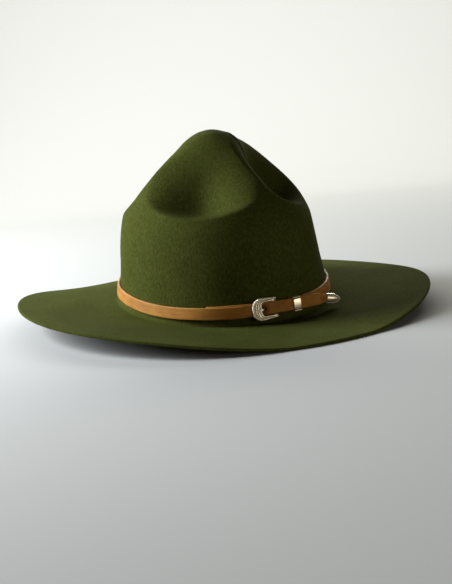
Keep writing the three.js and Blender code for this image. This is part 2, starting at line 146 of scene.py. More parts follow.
def ramp(tree, factor, stops):  # stops: place and colour, or place and one grey value
    node = addNode(tree, "ShaderNodeValToRGB", {"Fac": factor})
    line = node.color_ramp
    while len(line.elements) < len(stops):
        line.elements.new(0.5)
    for element, (spot, colour) in zip(line.elements, stops):
        element.position = spot
        element.color = (*colour, 1) if isinstance(colour, tuple) else (*[colour] * 3, 1)
    return node.outputs["Color"]


def math2(tree, operation, first, second):
    return addNode(tree, "ShaderNodeMath", {0: first, 1: second}, operation=operation).outputs[0]


def weighted(tree, first, firstShare, second, secondShare):
    parts = [math2(tree, "MULTIPLY", first, firstShare), math2(tree, "MULTIPLY", second, secondShare)]
    return math2(tree, "ADD", *parts)


def mixColour(tree, factor, first, second):
    node = addNode(tree, "ShaderNodeMix", data_type="RGBA")
    for socket, value in ((0, factor), (6, first), (7, second)):
        if isinstance(value, bpy.types.NodeSocket):
            tree.links.new(value, node.inputs[socket])
        else:
            node.inputs[socket].default_value = value if socket == 0 else (*value, 1)
    return node.outputs[2]


def objectSpot(tree):
    return addNode(tree, "ShaderNodeTexCoord").outputs["Object"]


def painted(tree, name, output="Fac"):
    return addNode(tree, "ShaderNodeAttribute", attribute_name=name).outputs[output]


def awayFrom(tree, spot, centre):
    node = addNode(tree, "ShaderNodeVectorMath", {0: spot, 1: centre}, operation="DISTANCE")
    return node.outputs["Value"]


def addBump(tree, shader, strength, distance, height):
    inputs = {"Strength": strength, "Distance": distance, "Height": height}
    bump = addNode(tree, "ShaderNodeBump", inputs)
    tree.links.new(bump.outputs[0], shader.inputs["Normal"])


def stretched(tree, coordinates, scale):
    return addNode(tree, "ShaderNodeMapping", {"Vector": coordinates, "Scale": scale}).outputs[0]


def noiseOf(tree, coordinates, scale, detail=3.0, roughness=0.55):
    inputs = {"Vector": coordinates, "Scale": scale, "Detail": detail, "Roughness": roughness}
    return addNode(tree, "ShaderNodeTexNoise", inputs).outputs["Fac"]


feltLook = {
    "deep": (0.0195, 0.0225, 0.0040),
    "middle": (0.0365, 0.0413, 0.0078),
    "light": (0.060, 0.067, 0.0145),
    "sheen": 0.01,  # the raised nap is seen at a glancing angle
    "sheenTint": (0.56, 0.60, 0.28, 1),
    "patches": 22,  # waves of colour per metre
    "clumps": 620,  # matted fibres
    "grain": 2100,
    "napStretch": (1.0, 1.0, 0.55),  # the nap is brushed downwards
    "patchShare": 0.16,  # of the colour, and the rest is fibres
    "clumpShare": 0.55,  # of the fibres, and the rest is grain
    "bump": 0.5, "bumpDepth": 0.0005,
}


def feltMaterial():
    look = feltLook
    material, tree, shader = newMaterial("oliveFelt", {
        "Roughness": 0.95, "Specular IOR Level": 0.01,
        "Sheen Weight": look["sheen"], "Sheen Roughness": 0.5, "Sheen Tint": look["sheenTint"]})
    spot = objectSpot(tree)
    nap = stretched(tree, spot, look["napStretch"])
    patches = noiseOf(tree, spot, look["patches"], 2)
    clumps = noiseOf(tree, nap, look["clumps"], 4, 0.65)
    grain = noiseOf(tree, nap, look["grain"], 3, 0.7)
    fine = weighted(tree, clumps, look["clumpShare"], grain, 1 - look["clumpShare"])
    tone = weighted(tree, patches, look["patchShare"], fine, 1 - look["patchShare"])
    colour = ramp(tree, tone, [(0.36, look["deep"]), (0.5, look["middle"]), (0.64, look["light"])])
    tree.links.new(colour, shader.inputs["Base Color"])
    addBump(tree, shader, look["bump"], look["bumpDepth"], fine)
    return material


leatherLook = {
    "deep": (0.200, 0.074, 0.0120),
    "middle": (0.275, 0.116, 0.0195),
    "light": (0.320, 0.160, 0.0300),
    "edge": (0.36, 0.19, 0.06),  # the cut edge's paler fibres, together with a painted highlight of the light that the edge catches
    "mark": (0.14, 0.020, 0.013),
    "markScale": 200,  # one unit of the reaches below is 5 mm
    "markRing": [(0.0, 0.55), (0.2, 0.55), (0.32, 1.0), (0.4, 0.85), (0.52, 0.0)],  # reach, strength
    "markStrength": 0.6,
    "wornAndPaintedShade": (0.05, 0.018, 0.006),  # painted shade round the hole of the prong, where the buckle and the hole shade the strap
    "paintedShadeScale": 150,  # one over its reach in metres
    "paintedShadeFade": [(0.0, 0.9), (0.4, 0.75), (1.0, 0.0)],
    "fibres": (60, 700, 700),  # streaks per metre along and across the strap
    "patches": 55,
    "pores": 1700,
    "bump": 0.3, "bumpDepth": 0.0003,
}


def leatherMaterial(markSpot, holeSpot):
    look = leatherLook
    material, tree, shader = newMaterial("tanLeather", {"Specular IOR Level": 0.09})
    spot = objectSpot(tree)
    course = painted(tree, "course", "Vector")
    streaks = noiseOf(tree, stretched(tree, course, look["fibres"]), 1, 4, 0.6)
    patches = noiseOf(tree, spot, look["patches"], 3)
    cells = addNode(tree, "ShaderNodeTexVoronoi", {"Vector": spot, "Scale": look["pores"]})
    pores = cells.outputs["Distance"]
    tone = weighted(tree, streaks, 0.5, patches, 0.5)
    colour = ramp(tree, tone, [(0.34, look["deep"]), (0.5, look["middle"]), (0.66, look["light"])])
    # paler edges: partly the cut edge's own fibres, partly a painted highlight where the edge catches the
    # light
    pale = ramp(tree, painted(tree, "edge"), [(0.5, 0.0), (1.0, 0.35)])
    colour = mixColour(tree, pale, colour, look["edge"])
    away = math2(tree, "MULTIPLY", awayFrom(tree, spot, markSpot), look["markScale"])
    ring = math2(tree, "MULTIPLY", ramp(tree, away, look["markRing"]), look["markStrength"])
    colour = mixColour(tree, ring, colour, look["mark"])
    # painted shade round the prong's hole, where the buckle and the hole shade the strap
    away = math2(tree, "MULTIPLY", awayFrom(tree, spot, holeSpot), look["paintedShadeScale"])
    colour = mixColour(tree, ramp(tree, away, look["paintedShadeFade"]), colour, look["wornAndPaintedShade"])
    tree.links.new(colour, shader.inputs["Base Color"])
    rough = ramp(tree, tone, [(0.3, 0.62), (0.7, 0.46)])
    tree.links.new(rough, shader.inputs["Roughness"])
    addBump(tree, shader, look["bump"], look["bumpDepth"], weighted(tree, pores, 0.5, streaks, 0.5))
    return material


silverLook = {
    "bright": (1.0, 0.91, 0.74),
    # the duller, worn tone of the silver
    "wornAndPaintedShade": (0.95, 0.83, 0.64),
    "tarnish": (0.05, 0.04, 0.03),
    "scratches": (40, 2600, 2600),
    "wear": 420,
    "roughness": 0.24,  # of the polished places
    "bump": 0.25, "bumpDepth": 0.0001,
}


def silverMaterial():
    look = silverLook
    material, tree, shader = newMaterial("wornSilver", {"Metallic": 1.0})
    spot = objectSpot(tree)
    wear = noiseOf(tree, spot, look["wear"], 4, 0.6)
    scratches = noiseOf(tree, stretched(tree, spot, look["scratches"]), 1, 2)
    recess = painted(tree, "recess")
    colour = ramp(tree, wear, [(0.35, look["wornAndPaintedShade"]), (0.6, look["bright"])])
    dark = math2(tree, "MULTIPLY", recess, math2(tree, "ADD", wear, 0.55))
    dark = ramp(tree, dark, [(0.4, 0.0), (0.95, 1.0)])
    tree.links.new(mixColour(tree, dark, colour, look["tarnish"]), shader.inputs["Base Color"])
    rough = weighted(tree, scratches, 0.2, dark, 0.3)
    tree.links.new(math2(tree, "ADD", rough, look["roughness"]), shader.inputs["Roughness"])
    addBump(tree, shader, look["bump"], look["bumpDepth"], scratches)
    return material


# The crown and the brim follow the same rules and sizes as the solid part
hat = {
    "thickness": 2.4,
    "length": 207.8, "width": 175.8, "height": 144.9,
    "tilt": 4.6, "lean": 1.4, "shift": 1.5, "seat": 12.2,
    "foot": 3.5,  # radius of the bend between crown and brim
    "brimWidth": 86, "sweep": 10, "press": 1.2,
    "profile": [(0, 1), (0.05, 0.998), (0.14, 0.982), (0.31, 0.947), (0.464, 0.88), (0.64, 0.752),
                (0.767, 0.646), (0.873, 0.539), (0.913, 0.463), (0.943, 0.34), (0.961, 0.178), (1, 0)],
    "dents": [  # azimuth, place, up, down, left, right, depth, drift
        (-51, 0.461, 0.401, 0.09, 0.489, 0.543, 0.242, -0.04),
        (41, 0.422, 0.337, 0.13, 0.405, 0.433, 0.327, -0.1),
        (56, 0.683, 0.277, 0.228, 0.751, 0.705, 0.036, 0),
        (145, 0.46, 0.4, 0.12, 0.36, 0.442, 0.144, -0.03),
        (-138, 0.483, 0.423, 0.136, 0.422, 0.399, 0.217, -0.04),
    ],
    "softness": 1.6,
    "waves": [(1, 0, -0.32), (2, -0.76, 0.32), (3, 0, 0.1), (4, -0.24, 0)],  # per turn, cosine, sine
    "around": 336, "crownRows": 122, "footRows": 6, "brimRows": 56, "rimRows": 9, "innerSkip": 3,
    "brimCrowding": 1.25,  # power that draws the brim's rows together towards the rim
    "edgeOut": 0.55, "edgeDown": 0.75,  # powers of the cut edge: lower is squarer
    "unevenness": 0.22,  # how far the felt wanders from its even shape
    "wanderSize": 34, "wanderSeed": 3,
    "strapRow": 4,  # rows above the crown's foot where the strap lies and nothing wanders
    "strapCalm": 10, "rimCalm": 8,  # rows over which the wandering comes back
}
meanRadius = (hat["length"] + hat["width"]) / 4
crownFrame = shift(hat["shift"], 0, hat["seat"]) @ turned("X", hat["tilt"]) @ turned("Y", -hat["lean"])


def smoothCurve(rows, steps=400):  # a curve through the rows, with its length along the way
    rows = np.asarray(rows, float)
    points = []
    for index in range(len(rows) - 1):
        before, start = rows[max(index - 1, 0)], rows[index]
        end, after = rows[index + 1], rows[min(index + 2, len(rows) - 1)]
        t = (np.arange(steps) / steps)[:, None]
        rise, fall = (end - before) / 2, (after - start) / 2
        points.append((2 * start - 2 * end + rise + fall) * t**3
                      + (-3 * start + 3 * end - 2 * rise - fall) * t**2 + rise * t + start)
    points = np.vstack(points + [rows[-1:]])
    return points, travelOf(points)


profile, profileTravel = smoothCurve([(g * meanRadius, h * hat["height"]) for g, h in hat["profile"]])
reach = profileTravel[-1]
profileSlope = unit(np.gradient(profile, profileTravel, axis=0))


def alongProfile(travel):
    # radius, height and the two parts of the slope
    return [np.interp(travel, profileTravel, column) for column in (*profile.T, *profileSlope.T)]


def girthAt(height):
    return np.interp(height, profile[::-1, 1], profile[::-1, 0]) / meanRadius


def oval(azimuth, girth, height):
    turn = np.radians(azimuth)
    x = hat["width"] / 2 * girth * np.sin(turn)
    y = -hat["length"] / 2 * girth * np.cos(turn)
    return np.stack(np.broadcast_arrays(x, y, height), -1).astype(float)


def ovalNormal(azimuth):
    turn = np.radians(azimuth)
    flat = np.stack([np.sin(turn) / hat["width"], -np.cos(turn) / hat["length"], 0 * turn], -1)
    return unit(flat)


def dentDepth(azimuth, radius, travel):
    depth = 0 * azimuth
    for at, spot, up, down, left, right, deep, drift in hat["dents"]:
        turn = np.radians(azimuth - at)
        along = travel - spot * reach
        aside = radius * np.sin(turn) - drift * along
        span = np.where(along < 0, up, down) * reach
        half = np.where(aside < 0, left, right) * meanRadius
        away = (aside / half) ** 2 + (along / span) ** 2
        inside = np.clip(1 - away, 0, 1) ** hat["softness"]
        depth = depth + np.where(np.cos(turn) > 0, deep * meanRadius * inside, 0)
    return depth


def crownPoints(azimuths, shares):
    travel = shares[:, None] * (reach - hat["foot"])
    azimuth = azimuths[None, :] + 0 * travel
    radius, height, slopeX, slopeY = alongProfile(travel)
    points = oval(azimuth, radius / meanRadius, height)
    depth = dentDepth(azimuth, radius, travel)
    points += ovalNormal(azimuth) * (depth * slopeY)[..., None]
    points[..., 2] -= depth * slopeX
    return place(crownFrame, points)


def footPoints(azimuths, shares):
    bend = np.radians(90) * shares[:, None] + 0 * azimuths[None, :]
    height = hat["foot"] * (1 - np.sin(bend))
    points = oval(azimuths[None, :] + 0 * bend, girthAt(height), height)
    points += ovalNormal(azimuths)[None] * (hat["foot"] * (1 - np.cos(bend)))[..., None]
    return place(crownFrame, points)


def rimHeight(azimuths):
    height = 1 + 0 * azimuths
    for perTurn, cosine, sine in hat["waves"]:
        turn = np.radians(azimuths * perTurn)
        height = height + cosine * np.cos(turn) + sine * np.sin(turn)
    return height * hat["sweep"] - hat["press"]


def brimPoints(azimuths, shares):
    start = place(crownFrame, oval(azimuths, 1, 0) + ovalNormal(azimuths) * hat["foot"])
    turn = np.radians(azimuths)
    rim = np.stack([(hat["width"] / 2 + hat["brimWidth"]) * np.sin(turn),
                    (-hat["length"] / 2 - hat["brimWidth"]) * np.cos(turn),
                    rimHeight(azimuths) + hat["thickness"]], -1)
    share = shares[:, None, None]
    points = start[None] * (1 - share) + rim[None] * share
    fall = share[..., 0] ** 2 * (2 - share[..., 0])
    points[..., 2] = start[None, :, 2] * (1 - fall) + rim[None, :, 2] * fall
    return points


def gridNormals(rows):
    down = np.empty_like(rows)
    down[1:-1], down[0], down[-1] = rows[2:] - rows[:-2], rows[1] - rows[0], rows[-1] - rows[-2]
    across = np.roll(rows, -1, 1) - np.roll(rows, 1, 1)
    return unit(np.cross(down, across))


def uneven(points, size, seed):  # slow, small wandering of a surface, as on blocked felt
    offset = Vector((seed, 0, 0))
    return np.array([noise.noise(Vector(point / size) + offset) for point in points])


def feltRings():
    azimuths = np.arange(hat["around"]) * 360 / hat["around"]
    crownShares = np.arange(1, hat["crownRows"] + 1) / hat["crownRows"]
    footShares = np.arange(1, hat["footRows"]) / hat["footRows"]
    brimShares = 1 - (1 - np.arange(hat["brimRows"] + 1) / hat["brimRows"]) ** hat["brimCrowding"]
    outer = np.concatenate([crownPoints(azimuths, crownShares), footPoints(azimuths, footShares),
                            brimPoints(azimuths, brimShares)])
    normals = gridNormals(outer)
    inner = outer - normals * hat["thickness"]
    inner[..., 2] = np.maximum(inner[..., 2], 0)
    outer[..., 2] = np.maximum(outer[..., 2], hat["thickness"])
    wander = uneven(outer.reshape(-1, 3), hat["wanderSize"], hat["wanderSeed"])
    wander = wander.reshape(outer.shape[:2]) * hat["unevenness"]
    rows = np.arange(len(outer))
    calm = np.clip(np.abs(rows - hat["crownRows"] + hat["strapRow"]) / hat["strapCalm"], 0, 1)
    calm = calm * np.clip((len(outer) - 1 - rows) / hat["rimCalm"], 0, 1)
    outer = outer + normals * (wander * calm[:, None])[..., None]
    rim = []
    for row in range(1, hat["rimRows"] + 1):  # the cut edge: nearly upright, with two small round corners
        bend = math.pi * row / (hat["rimRows"] + 1)
        out = ovalNormal(azimuths) * hat["thickness"] * 0.5 * math.sin(bend) ** hat["edgeOut"]
        share = (1 - math.copysign(abs(math.cos(bend)) ** hat["edgeDown"], math.cos(bend))) / 2
        rim.append(outer[-1] * (1 - share) + inner[-1] * share + out)
    back = inner[::-1]
    keep = sorted(set(range(0, len(back), hat["innerSkip"])) | {len(back) - 1})
    return np.concatenate([outer, np.array(rim), back[keep]])


def feltBody(material):
    points, faces = capped(feltRings())
    return meshPiece("felt_hat", points, faces, material)


# The band's way: azimuth, stand-off in leather layers, rise as a share of its width
band = {
    "width": 9.8, "thickness": 2.2, "gap": 0.3,
    "course": [(-43, 0, 0.21), (-25, 0, 0.31), (-10, 0, 0.31), (0, 0.5, 0.25), (8, 0.5, 0.25), (20, 0, 0.22),
               (60, 0, 0.18), (120, 0, 0.1), (245, 0, 0.18), (295, 0, 0.02), (316, 1, 0.13), (328, 1, 0.18),
               (343, 1, 0.3), (348, 1.75, 0.33), (353, 1.85, 0.345), (359, 1.5, 0.3), (363.3, 1.5, 0.25)],
    "endReach": 37, "endTurn": -1, "endStraight": 31, "endDroop": 1.2, "droopPower": 5,
    "taperFrom": 22, "endWidth": 6.6,
    "mark": (27.2, -0.5),  # a round stain on the free end: place along it and above its middle
    "paintedShadeAside": 1.5,  # from the closed end of the buckle to the middle of the painted shade
    "step": 0.6,  # degrees between sections
    "corner": 0.75,  # radius of the rounded edges
    "spacing": 1.3,  # between points across the flat sides
    "paleEdge": 1.0,  # width of the paler stretch at each edge
}
pitch = band["thickness"] + band["gap"]
bandFoot = hat["foot"] + band["gap"]
firstAzimuth, lastAzimuth = band["course"][0][0], band["course"][-1][0]


def bandCourse(azimuth):
    rows = np.array(band["course"], float)
    row = int(np.clip(np.searchsorted(rows[:, 0], azimuth, side="right") - 1, 0, len(rows) - 2))
    start, end = rows[row], rows[row + 1]
    share = min(max((azimuth - start[0]) / (end[0] - start[0]), 0), 1)
    ease = (1 - math.cos(math.pi * share)) / 2
    return start[1:] * (1 - ease) + end[1:] * ease


def bandOrigin(azimuth, layer, lift):
    height = bandFoot + band["width"] / 2 + lift * band["width"]
    return oval(azimuth, girthAt(height), height) + bandLean(azimuth) * (band["gap"] + layer * pitch)


def bandLean(azimuth):  # square to the wall behind the band
    return ovalNormal(azimuth) * math.cos(wallLean) + np.array([0, 0, math.sin(wallLean)])


def courseFrame(azimuth, layer=None):
    spots = []
    for turn in (-1, 0, 1):
        own, lift = bandCourse(azimuth + turn)
        spots.append(bandOrigin(azimuth + turn, own if layer is None else layer, lift))
    along = unit(spots[2] - spots[0])
    level = np.cross(along, (0, 0, 1))
    outward = unit(level * math.cos(wallLean) + np.array([0, 0, math.sin(wallLean)]))
    outward = unit(outward - along * (outward @ along))
    return basis(along, np.cross(outward, along), outward, spots[1])


def endFrame(along):  # the free end leaves the crown straight, and its last part droops
    share = min(along / band["endStraight"], 1)
    slope = band["droopPower"] * band["endDroop"] / band["endStraight"] * share ** (band["droopPower"] - 1)
    drop = band["endDroop"] * share ** band["droopPower"] + slope * max(along - band["endStraight"], 0)
    return freeEnd @ shift(along, -drop, 0) @ turned("Z", -math.degrees(math.atan(slope)))


def endNarrowing(along):  # what each edge of the leather gives up towards its end
    share = np.clip((along - band["taperFrom"]) / (band["endStraight"] - band["taperFrom"]), 0, 1)
    return (band["width"] - band["endWidth"]) / 2 * (1 - math.cos(math.pi * share)) / 2


wallLean = math.atan((girthAt(bandFoot) - girthAt(bandFoot + band["width"])) * meanRadius / band["width"])
freeEnd = courseFrame(lastAzimuth) @ turned("Z", band["endTurn"])


def roundedSection(width, thickness, radius, steps=4):
    corners = []
    half = width / 2 - radius
    for x, y, start in ((half, thickness - radius, 0), (-half, thickness - radius, 90),
                        (-half, radius, 180), (half, radius, 270)):
        for step in range(steps + 1):
            angle = math.radians(start + 90 * step / steps)
            corners.append((x + radius * math.cos(angle), y + radius * math.sin(angle)))
    return np.array(corners)  # across the band, outwards


def strapBody(material, cutter):
    section = roundedSection(band["width"], band["thickness"], band["corner"])[::-1]
    fine = []
    for here, after in zip(section, np.roll(section, -1, 0)):  # long sides get points between
        count = max(1, int(np.linalg.norm(after - here) / band["spacing"]))
        fine += [here + (after - here) * k / count for k in range(count)]
    section = np.array(fine)
    count = int((lastAzimuth - firstAzimuth) / band["step"]) + 1
    turns = np.linspace(firstAzimuth, lastAzimuth, count)
    frames = [courseFrame(azimuth) for azimuth in turns]
    narrowing = [0.0] * len(frames)
    endSpots = np.arange(1, band["endReach"] + 0.5, 1.0)
    frames += [endFrame(along) for along in endSpots]
    narrowing += [endNarrowing(along) for along in endSpots]
    local = np.column_stack([np.zeros(len(section)), section[:, 0], section[:, 1]])
    rings = []
    for sectionFrame, less in zip(frames, narrowing):
        sized = local * (1, 1 - 2 * less / band["width"], 1)
        rings.append(place(sectionFrame, sized))
    rings = np.array(rings)
    travel = travelOf(np.array([sectionFrame[:3, 3] for sectionFrame in frames]))
    points, faces = capped(place(crownFrame, rings))
    piece = meshPiece("leather_strap", points, faces, material)
    course = np.zeros((len(points), 3))
    course[:-2, 0] = np.repeat(travel, len(section)) * mm
    course[:-2, 1:] = np.tile(section, (len(frames), 1)) * mm
    attribute = piece.data.attributes.new("course", "FLOAT_VECTOR", "POINT")
    attribute.data.foreach_set("vector", course.ravel())
    # how near each point is to an edge, for the paler edge and its painted highlight
    fromMiddle = np.abs(section[:, 0]) - (band["width"] / 2 - band["paleEdge"])
    paint(piece, "edge", np.tile(np.clip(fromMiddle / band["paleEdge"], 0, 1), len(frames)))
    cut = piece.modifiers.new("hole", "BOOLEAN")
    cut.operation, cut.object, cut.solver = "DIFFERENCE", cutter, "EXACT"
    return flattened(piece)


def flattened(piece):  # the piece with its modifiers made part of a plain mesh
    graph = bpy.context.evaluated_depsgraph_get()
    made = bpy.data.meshes.new_from_object(piece.evaluated_get(graph), depsgraph=graph)
    piece.modifiers.clear()
    old = piece.data
    piece.data = made
    made.name = piece.name
    bpy.data.meshes.remove(old)
    return piece


buckle = {
    "azimuth": 345.6, "length": 20.2, "height": 18.2, "front": 7.4, "plate": 2.4, "sidePlay": 0.9,
    "corner": 7.5, "mouth": 3.0, "taper": 1.0, "postHeight": 1.8,
    "barThickness": 1.5, "barWidth": 2.4,
    "along": 420, "across": 46,  # fineness of the plate
    "bead": 1.35,  # width of the smooth inner border
    "leafPitch": 2.7, "leafSlant": 1.5, "leafWidth": 0.42, "veinWidth": 0.24, "groove": 0.42,
    "slantReach": 4,  # the leaves slant over no more than this width
    "faceDrop": 0.95,  # from the front of the plate to the foot of the carving
    "beadFoot": 0.45, "beadRise": 0.5, "leafFoot": 0.25, "leafRise": 0.62, "leafCut": 0.3, "ropeFoot": 0.12,
    "chamfer": 0.35,  # of the back edges
    "postSeat": 0.4,  # how far the posts reach into the plate
    "ropePitch": 1.25, "ropeRadius": 0.78, "ropeTwist": 0.85,
    "ropeInset": 0.95,  # from the outer edge, in rope radii
    "ropeSink": 0.1, "ropeSteps": 400,
    "ropeTrim": 6,  # steps that it stops short of each arm's end
}
buckleFrame = crownFrame @ courseFrame(buckle["azimuth"], 0)
plateBack = pitch + band["thickness"] + 2 * band["gap"]
openingHalf = band["width"] / 2 + buckle["sidePlay"]
barPlace = buckle["length"] / 2 - buckle["barWidth"] / 2


def sagAt(azimuth, along):  # how far the band curves away behind a straight piece
    turn = math.radians(azimuth)
    spread = math.hypot(hat["length"] / 2 * math.sin(turn), hat["width"] / 2 * math.cos(turn))
    bendRadius = spread**3 / (hat["length"] / 2 * hat["width"] / 2)
    return along**2 / (2 * bendRadius)


def arc(centre, radius, start, end, steps=24):
    angles = np.radians(np.linspace(start, end, steps))
    return np.column_stack([centre[0] + radius * np.cos(angles), centre[1] + radius * np.sin(angles)])


def respaced(points, count):
    points = np.asarray(points, float)
    travel = travelOf(points)
    even = np.linspace(0, travel[-1], count)
    return np.column_stack([np.interp(even, travel, column) for column in points.T]), travel[-1]


def nearLine(spots, line):  # distance from each spot to the nearest point of a line
    flat = spots.reshape(-1, 2)
    starts, steps = line[:-1], np.diff(line, axis=0)
    share = np.einsum("ijk,jk->ij", flat[:, None] - starts[None], steps)
    share = np.clip(share / np.maximum((steps**2).sum(1), 1e-9), 0, 1)
    nearest = starts[None] + share[..., None] * steps[None]
    return np.linalg.norm(flat[:, None] - nearest, axis=-1).min(1).reshape(spots.shape[:-1])


def swept(route, across, halfWidth, halfDepth, sides=16):  # a rounded bar along a route
    directions = unit(np.gradient(route, axis=0))
    across = np.asarray(across)
    angles = np.arange(sides) * 2 * math.pi / sides
    rings = []
    for spot, along, wide, deep in zip(route, directions, halfWidth, halfDepth):
        out = np.cross(across, along)
        rings.append([spot + across * wide * math.cos(a) + out * deep * math.sin(a) for a in angles])
    return capped(np.array(rings))


def bar(start, end, halfWidth, halfDepth, rows=5):
    return swept(np.linspace(start, end, rows), (1, 0, 0), [halfWidth] * rows, [halfDepth] * rows)


def together(parts):  # several closed shells as one mesh
    points, faces, count = [], [], 0
    for shellPoints, shellFaces in parts:
        points.append(shellPoints)
        faces += [tuple(corner + count for corner in face) for face in shellFaces]
        count += len(shellPoints)
    return np.vstack(points), faces


# One strand of the twisted rope borders: its length in rope radii, and its half width in pitches
strand = {"length": 1.45, "halfWidth": 0.52, "segments": 14, "rings": 9}


def ropeTree(material):
    tree = bpy.data.node_groups.new("twistedRope", "GeometryNodeTree")
    tree.interface.new_socket("Geometry", in_out="INPUT", socket_type="NodeSocketGeometry")
    sockets = {}
    for name in ("Pitch", "Radius", "Strand Length", "Twist"):
        made = tree.interface.new_socket(name, in_out="INPUT", socket_type="NodeSocketFloat")
        sockets[name] = made.identifier
    tree.interface.new_socket("Geometry", in_out="OUTPUT", socket_type="NodeSocketGeometry")
    given = tree.nodes.new("NodeGroupInput").outputs
    line = addNode(tree, "GeometryNodeMeshToCurve", {"Mesh": given["Geometry"]}).outputs[0]
    spacing = {"Curve": line, "Length": given["Pitch"]}
    line = addNode(tree, "GeometryNodeResampleCurve", spacing, mode="LENGTH").outputs[0]
    shape = {"Segments": strand["segments"], "Rings": strand["rings"], "Radius": 1.0}
    ball = addNode(tree, "GeometryNodeMeshUVSphere", shape).outputs["Mesh"]
    heading = addNode(tree, "GeometryNodeInputTangent").outputs[0]
    level = addNode(tree, "FunctionNodeAlignRotationToVector", {"Vector": heading}, axis="X").outputs[0]
    twist = addNode(tree, "ShaderNodeCombineXYZ", {"Z": given["Twist"]}).outputs[0]
    twist = addNode(tree, "FunctionNodeEulerToRotation", {0: twist}).outputs[0]
    slant = {"Rotation": level, "Rotate By": twist}
    slanted = addNode(tree, "FunctionNodeRotateRotation", slant, rotation_space="LOCAL").outputs[0]
    narrow = math2(tree, "MULTIPLY", given["Pitch"], strand["halfWidth"])
    size = {"X": given["Strand Length"], "Y": narrow, "Z": given["Radius"]}
    size = addNode(tree, "ShaderNodeCombineXYZ", size).outputs[0]
    strands = addNode(tree, "GeometryNodeInstanceOnPoints", {
        "Points": line, "Instance": ball, "Rotation": slanted, "Scale": size}).outputs[0]
    strands = addNode(tree, "GeometryNodeRealizeInstances", {"Geometry": strands}).outputs[0]
    strands = addNode(tree, "GeometryNodeSetShadeSmooth", {"Geometry": strands}).outputs[0]
    strands = addNode(tree, "GeometryNodeSetMaterial", {"Geometry": strands, "Material": material}).outputs[0]
    tree.links.new(strands, tree.nodes.new("NodeGroupOutput").inputs[0])
    return tree, sockets


def ropePiece(name, lines, placing, rope, look):
    tree, sockets = rope
    radius = look["ropeRadius"] * mm
    points, edges = [], []
    for line in lines:
        edges += [(len(points) + step, len(points) + step + 1) for step in range(len(line) - 1)]
        points += [tuple(spot * mm) for spot in np.asarray(line)]
    mesh = bpy.data.meshes.new(name)
    mesh.from_pydata(points, edges, [])
    piece = addObject(name, mesh)
    modifier = piece.modifiers.new("rope", "NODES")
    modifier.node_group = tree
    values = {"Pitch": look["ropePitch"] * mm, "Radius": radius, "Strand Length": radius * strand["length"],
              "Twist": look["ropeTwist"]}
    for socket, value in values.items():
        modifier[sockets[socket]] = value
    flattened(piece)
    spot = place(placing, np.array([vertex.co for vertex in piece.data.vertices]) / mm) * mm
    piece.data.vertices.foreach_set("co", spot.ravel())
    piece.data.update()
    return piece


def buckleEdges():  # the outer and inner outline, each from the upper arm's end round to the lower one
    left, right = -buckle["length"] / 2, buckle["length"] / 2
    half, corner, mouth = buckle["height"] / 2, buckle["corner"], buckle["mouth"]
    inside = left + buckle["front"]
    outer = np.vstack([
        [(right, half - buckle["taper"])],
        arc((left + corner, half - corner), corner, 90, 180),
        arc((left + corner, corner - half), corner, 180, 270),
        [(right, buckle["taper"] - half)]])
    inner = np.vstack([
        [(right, openingHalf)],
        arc((inside + mouth, openingHalf - mouth), mouth, 90, 180),
        arc((inside + mouth, mouth - openingHalf), mouth, 180, 270),
        [(right, -openingHalf)]])
    return outer, inner


def buckleCarving(spot, width, travel):  # rise of the face and how dark it is, from the inner edge outwards
    bead, ropeFrom = buckle["bead"], width - 2 * buckle["ropeRadius"]
    leaves = ropeFrom - bead  # width of the carved field
    share = np.clip((spot - bead) / np.maximum(leaves, 0.2), 0, 1)
    slant = buckle["leafSlant"] * np.abs(share - 0.5) * np.minimum(leaves, buckle["slantReach"])
    ridge = np.abs(np.sin(math.pi * (travel + slant) / buckle["leafPitch"]))
    vein = notch((share - 0.5) * leaves, buckle["veinWidth"])
    cut = np.maximum(notch(ridge, buckle["leafWidth"]) * np.sin(math.pi * share) ** 0.4, vein)
    edge = notch(spot - bead, buckle["groove"]) + notch(spot - ropeFrom, buckle["groove"])
    dome = np.sqrt(np.clip(1 - ((spot - bead / 2) / (bead / 2)) ** 2, 0, 1))
    beadFace = buckle["beadFoot"] + buckle["beadRise"] * dome
    leafFace = buckle["leafRise"] * np.sin(math.pi * share) ** 0.5 - buckle["leafCut"] * cut
    leafFace = np.where(spot < ropeFrom, buckle["leafFoot"] + leafFace, buckle["ropeFoot"])
    dark = np.where(spot < bead, 0.0, np.where(spot < ropeFrom, 0.2 + 0.8 * cut, 0.9))
    return np.where(spot < bead, beadFace, leafFace), np.clip(np.maximum(dark, edge), 0, 1)


